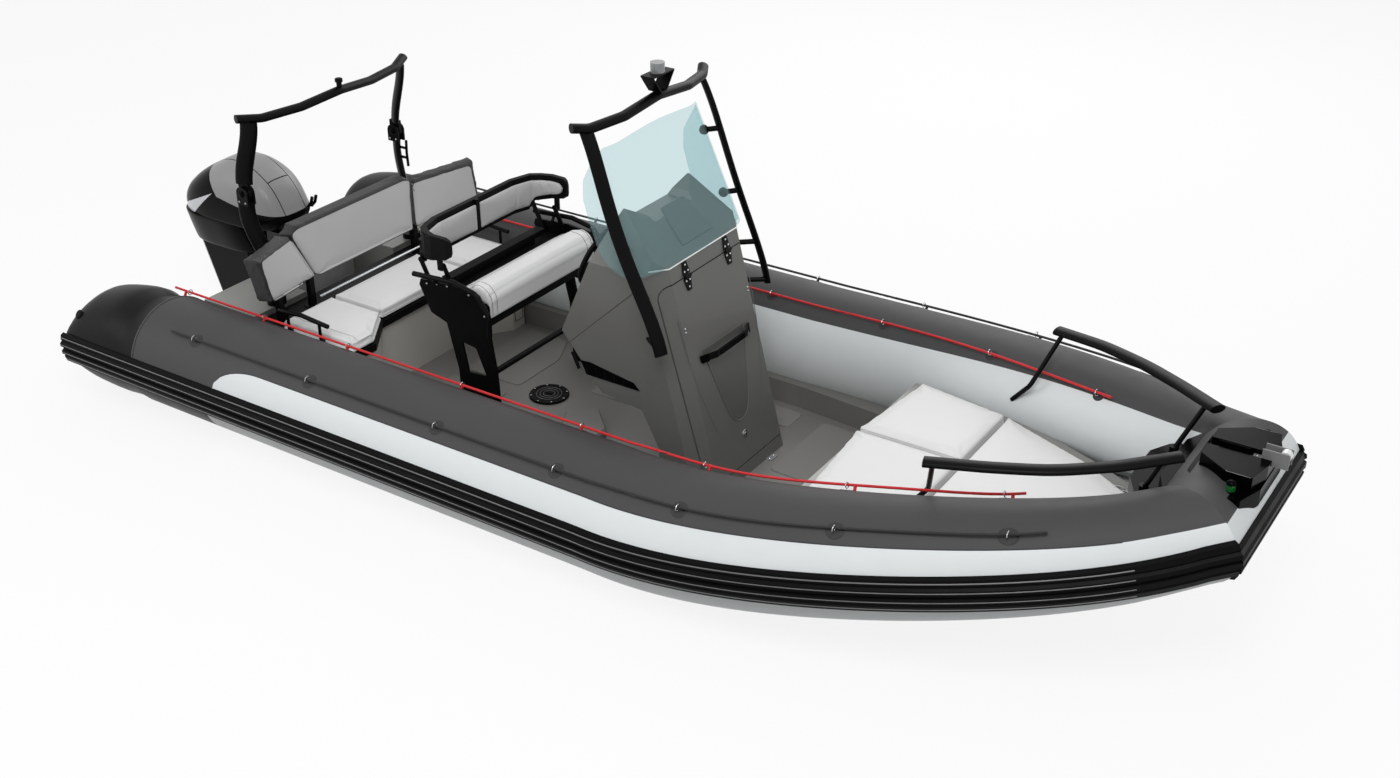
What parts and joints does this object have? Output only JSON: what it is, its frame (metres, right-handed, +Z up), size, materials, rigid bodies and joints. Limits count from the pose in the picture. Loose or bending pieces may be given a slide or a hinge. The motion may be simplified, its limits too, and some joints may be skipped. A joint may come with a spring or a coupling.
{
  "type": "rigid inflatable boat",
  "caption": "Rigid inflatable boat with a centre console, a swing-back helm seat, an aft bench, a folding arch, a bow sunpad and a tilting outboard motor.",
  "frame": {"origin": "on the centreline at the waterline, about amidships", "axes": "+X forward to the bow, +Y to port, +Z up"},
  "size_m": [6.157, 2.5438, 2.604],
  "materials": {
    "tube_fabric_dark": "satin",
    "tube_fabric_nose": "satin",
    "strake_rubber": "matt",
    "rope_red": "braided",
    "rope_black": "braided",
    "gelcoat_white": "gloss",
    "gelcoat_grey": "satin",
    "console_grey": "satin",
    "black_gelcoat": "gloss",
    "black_metal": "gloss powder coat",
    "black_plastic": "matt",
    "steel": "polished",
    "cushion_white": "coated cloth",
    "pad_grey": "coated cloth",
    "clear_screen": "clear",
    "lamp_white": "frosted",
    "lamp_red": "clear red",
    "lamp_green": "clear green",
    "engine_black": "gloss",
    "engine_metal": "satin",
    "prop_steel": "polished"
  },
  "bodies": {
    "boat": {"aft_decks": "gelcoat_grey", "anchor_roller_frame": "steel", "arch_base": "black_metal", "bench_back_posts": "black_metal", "bench_backrest": "pad_grey", "bench_cushions": "cushion_white", "bench_locker": "gelcoat_grey", "bench_rails": "black_metal", "bench_seat_base": "black_plastic", "bow_cleat": "steel", "bow_eye": "steel", "bow_locker": "gelcoat_grey", "bow_pads": "cushion_white", "bow_rails": "black_metal", "bow_step": "black_gelcoat", "bow_strake": "strake_rubber", "bow_tube": "tube_fabric_nose", "cockpit_liner": "gelcoat_grey", "console_body": "console_grey", "console_hinges": "black_plastic", "deck_hatch": "black_plastic", "foot_bar": "black_metal", "helm_cushion": "cushion_white", "hull": "gelcoat_white", "inner_grab_lines": "rope_red", "lamp_bracket": "black_metal", "masthead_light": "lamp_white", "outer_grab_lines": "rope_black", "port_nav_light": "lamp_red", "port_seat_frame": "black_metal", "port_strake": "strake_rubber", "port_tube": "tube_fabric_dark", "seat_pan": "black_plastic", "starboard_nav_light": "lamp_green", "starboard_seat_frame": "black_metal", "starboard_strake": "strake_rubber", "starboard_tube": "tube_fabric_dark", "steering_hub": "black_plastic", "stern_eyes": "steel", "throttle": "black_plastic", "transom_bracket": "engine_metal", "windscreen": "clear_screen", "windscreen_frame": "black_metal"},
    "anchor_roller": {"anchor_roller": "black_plastic"},
    "steering_wheel": {"steering_wheel": "black_plastic"},
    "console_door": {"console_door": "console_grey", "door_hinges": "black_plastic", "door_handle": "black_plastic"},
    "front_seat_arms": {"front_seat_arms": "black_metal"},
    "rear_seat_arms": {"rear_seat_arms": "black_metal"},
    "helm_backrest": {"helm_backrest": "black_plastic", "helm_back_pads": "pad_grey"},
    "arch": {"arch_hoop": "black_metal", "arch_light": "lamp_white"},
    "outboard_swivel": {"swivel_bracket": "engine_metal"},
    "outboard": {"outboard_leg": "engine_metal", "lower_cowl": "engine_black", "engine_cowl": "engine_black"},
    "propeller": {"propeller": "prop_steel"}
  },
  "joints": [
    {"name": "outboard_tilt", "type": "hinge", "parent": "boat", "child": "outboard_swivel", "pos_m": [-2.395, 0, 0.56], "axis": [0, 1, 0], "range_deg": [0, 60]},
    {"name": "outboard_steer", "type": "hinge", "parent": "outboard_swivel", "child": "outboard", "pos_m": [-2.52, 0, 0.3], "axis": [0, 0, 1], "range_deg": [-30, 30]},
    {"name": "propeller_spin", "type": "hinge", "parent": "outboard", "child": "propeller", "pos_m": [-2.89, 0, -0.4], "axis": [1, 0, 0], "continuous": true},
    {"name": "steering_wheel_turn", "type": "hinge", "parent": "boat", "child": "steering_wheel", "pos_m": [-0.17577, -0.06, 1.02192], "axis": [-0.9179, 0, 0.3968], "range_deg": [-720, 720]},
    {"name": "console_door_swing", "type": "hinge", "parent": "boat", "child": "console_door", "pos_m": [0.36871, 0, 1.08226], "axis": [0, -1, 0], "range_deg": [0, 100]},
    {"name": "helm_front_arm_swing", "type": "hinge", "parent": "boat", "child": "front_seat_arms", "pos_m": [-0.8, 0, 0.79], "axis": [0, 1, 0], "range_deg": [0, 60]},
    {"name": "helm_rear_arm_swing", "type": "hinge", "parent": "boat", "child": "rear_seat_arms", "pos_m": [-0.945, 0, 0.79], "axis": [0, 1, 0], "range_deg": [0, 60]},
    {"name": "helm_backrest_swing", "type": "hinge", "parent": "front_seat_arms", "child": "helm_backrest", "pos_m": [-0.865, 0, 0.925], "axis": [0, 1, 0], "range_deg": [-60, 0]},
    {"name": "arch_fold", "type": "hinge", "parent": "boat", "child": "arch", "pos_m": [-2.06, 0, 1.08], "axis": [0, 1, 0], "range_deg": [0, 90]},
    {"name": "anchor_roller_spin", "type": "hinge", "parent": "boat", "child": "anchor_roller", "pos_m": [3.025, 0, 0.922], "axis": [0, 1, 0], "continuous": true}
  ],
  "couplings": [
    {"joint": "helm_rear_arm_swing", "follows": "helm_front_arm_swing", "ratio": 1},
    {"joint": "helm_backrest_swing", "follows": "helm_front_arm_swing", "ratio": -1},
    {"joint": "steering_wheel_turn", "follows": "outboard_steer", "ratio": -24}
  ]
}
